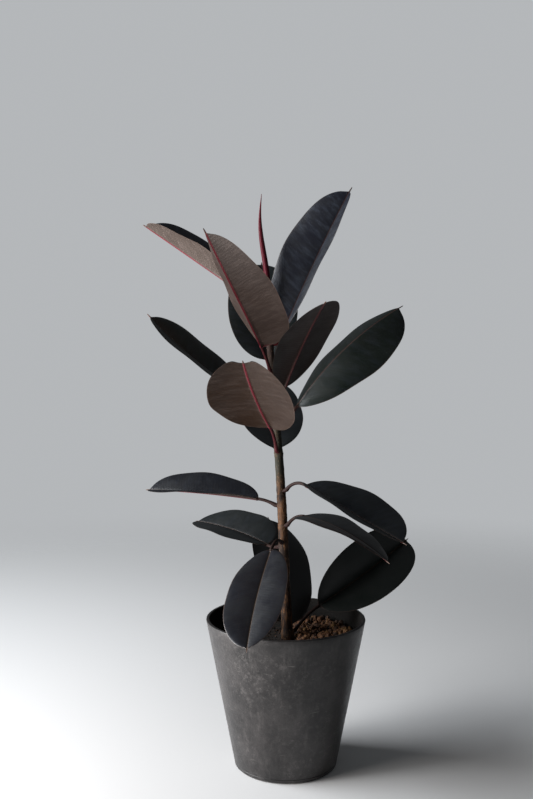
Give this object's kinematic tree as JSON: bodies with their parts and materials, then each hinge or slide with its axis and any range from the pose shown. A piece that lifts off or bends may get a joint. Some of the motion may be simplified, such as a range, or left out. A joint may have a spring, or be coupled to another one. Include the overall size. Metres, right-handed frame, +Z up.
{
  "type": "potted rubber plant",
  "caption": "Young evergreen house plant with one woody stem, glossy dark oval leaves on arching petioles and a red leaf bud, rooted in a tapered matte stone-grey pot.",
  "frame": {"origin": "centre of the pot's flat underside, which rests on the floor", "axes": "+Z up along the pot's axis, +X to the right and -Y to the front, the side the plant is seen from"},
  "size_m": [0.3993, 0.3948, 0.7944],
  "materials": {
    "pot_stone": "matte",
    "soil": "matte",
    "granules": "matte",
    "bark": "matte",
    "sheath": "satin",
    "leaf": "gloss"
  },
  "bodies": {
    "root": {"pot": "pot_stone", "soil": "soil", "granules": "granules", "stem": "bark", "sheath": "sheath", "leaf_01": "leaf", "leaf_02": "leaf", "leaf_03": "leaf", "leaf_04": "leaf", "leaf_05": "leaf", "leaf_06": "leaf", "leaf_07": "leaf", "leaf_08": "leaf", "leaf_09": "leaf", "leaf_10": "leaf", "leaf_11": "leaf", "leaf_12": "leaf", "leaf_13": "leaf", "leaf_14": "leaf", "leaf_15": "leaf", "leaf_16": "leaf"}
  },
  "joints": []
}
